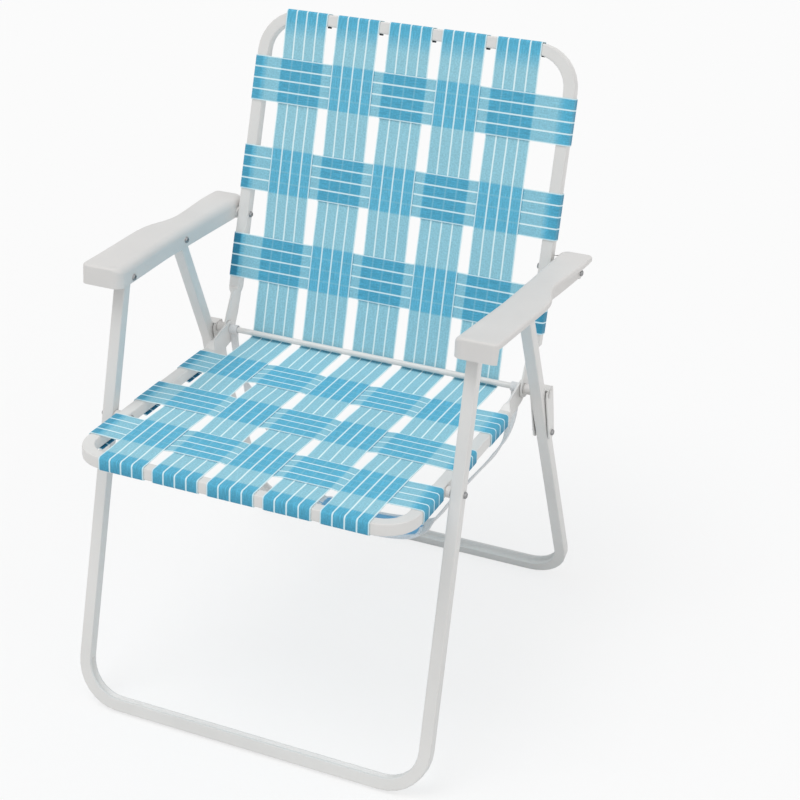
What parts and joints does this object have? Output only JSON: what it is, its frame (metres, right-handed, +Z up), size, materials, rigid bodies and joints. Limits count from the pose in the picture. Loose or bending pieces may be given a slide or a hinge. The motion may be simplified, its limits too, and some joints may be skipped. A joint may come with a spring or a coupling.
{
  "type": "folding lawn chair",
  "caption": "Folding lawn chair: bent tube frames, woven webbing seat and back, plastic arms, hinge brackets that let it fold flat, and a carry strap with a pad.",
  "frame": {"origin": "on the ground, under the middle of the box round the unfolded chair", "axes": "+Z up, the chair faces -Y, +X towards the right hand of someone who looks at its front"},
  "size_m": [0.562, 0.5682, 0.7797],
  "materials": {
    "frame_paint": "satin off-white powder coat",
    "armrest_plastic": "moulded light grey plastic, fine matt",
    "rivets": "zinc plated rivets",
    "webbing": "woven polypropylene, blue bands with white lines",
    "carry_webbing": "woven band, light grey",
    "shoulder_pad": "padded blue cloth with a light edge"
  },
  "bodies": {
    "back": {"back_frame": "frame_paint", "pivot_rod": "frame_paint", "hinge_spacer_left": "armrest_plastic", "hinge_spacer_right": "armrest_plastic", "back_web_1": "webbing", "back_web_2": "webbing", "back_web_3": "webbing", "back_web_4": "webbing", "back_web_5": "webbing", "back_cross_web_1": "webbing", "back_cross_web_2": "webbing", "back_cross_web_3": "webbing", "carry_strap": "carry_webbing", "carry_pad": "shoulder_pad"},
    "seat": {"seat_frame": "frame_paint", "seat_web_1": "webbing", "seat_web_2": "webbing", "seat_web_3": "webbing", "seat_web_4": "webbing", "seat_web_5": "webbing", "seat_cross_web_1": "webbing", "seat_cross_web_2": "webbing", "seat_cross_web_3": "webbing", "seat_rivet_left": "rivets", "seat_rivet_right": "rivets", "seat_spacer_left": "armrest_plastic", "seat_spacer_right": "armrest_plastic"},
    "arms": {"armrest_left": "armrest_plastic", "armrest_right": "armrest_plastic", "arm_back_rivet_left": "rivets", "arm_back_rivet_right": "rivets", "arm_front_leg_rivet_left": "rivets", "arm_front_leg_rivet_right": "rivets", "arm_rear_leg_rivet_left": "rivets", "arm_rear_leg_rivet_right": "rivets"},
    "front_legs": {"front_leg_frame": "frame_paint", "front_leg_rivet_left": "rivets", "front_leg_rivet_right": "rivets"},
    "rear_legs": {"rear_leg_frame": "frame_paint", "rear_leg_bush_left": "rivets", "rear_leg_bush_right": "rivets"},
    "links": {"hinge_bracket_left": "frame_paint", "hinge_bracket_right": "frame_paint", "bracket_outer_rivet_left": "rivets", "bracket_outer_rivet_right": "rivets", "bracket_inner_rivet_left": "rivets", "bracket_inner_rivet_right": "rivets"}
  },
  "joints": [
    {"name": "seat_fold", "type": "hinge", "parent": "back", "child": "seat", "pos_m": [0, 0.11675, 0.3632], "axis": [-1, 0, 0], "range_deg": [0, 100]},
    {"name": "arm_fold", "type": "hinge", "parent": "back", "child": "arms", "pos_m": [0, 0.18349, 0.50787], "axis": [-1, 0, 0], "range_deg": [0, 95.88]},
    {"name": "front_leg_fold", "type": "hinge", "parent": "arms", "child": "front_legs", "pos_m": [0, -0.11029, 0.53761], "axis": [-1, 0, 0], "range_deg": [-87.26, 0]},
    {"name": "rear_leg_fold", "type": "hinge", "parent": "arms", "child": "rear_legs", "pos_m": [0, 0.036, 0.52682], "axis": [-1, 0, 0], "range_deg": [-49.85, 0]},
    {"name": "bracket_turn", "type": "hinge", "parent": "back", "child": "links", "pos_m": [0, 0.11675, 0.3632], "axis": [-1, 0, 0], "range_deg": [0, 193.47]}
  ],
  "couplings": [
    {"joint": "arm_fold", "follows": "seat_fold", "ratio": 0.95873},
    {"joint": "front_leg_fold", "follows": "seat_fold", "ratio": -0.87259},
    {"joint": "rear_leg_fold", "follows": "seat_fold", "ratio": -0.49844},
    {"joint": "bracket_turn", "follows": "seat_fold", "ratio": 1.9347}
  ]
}
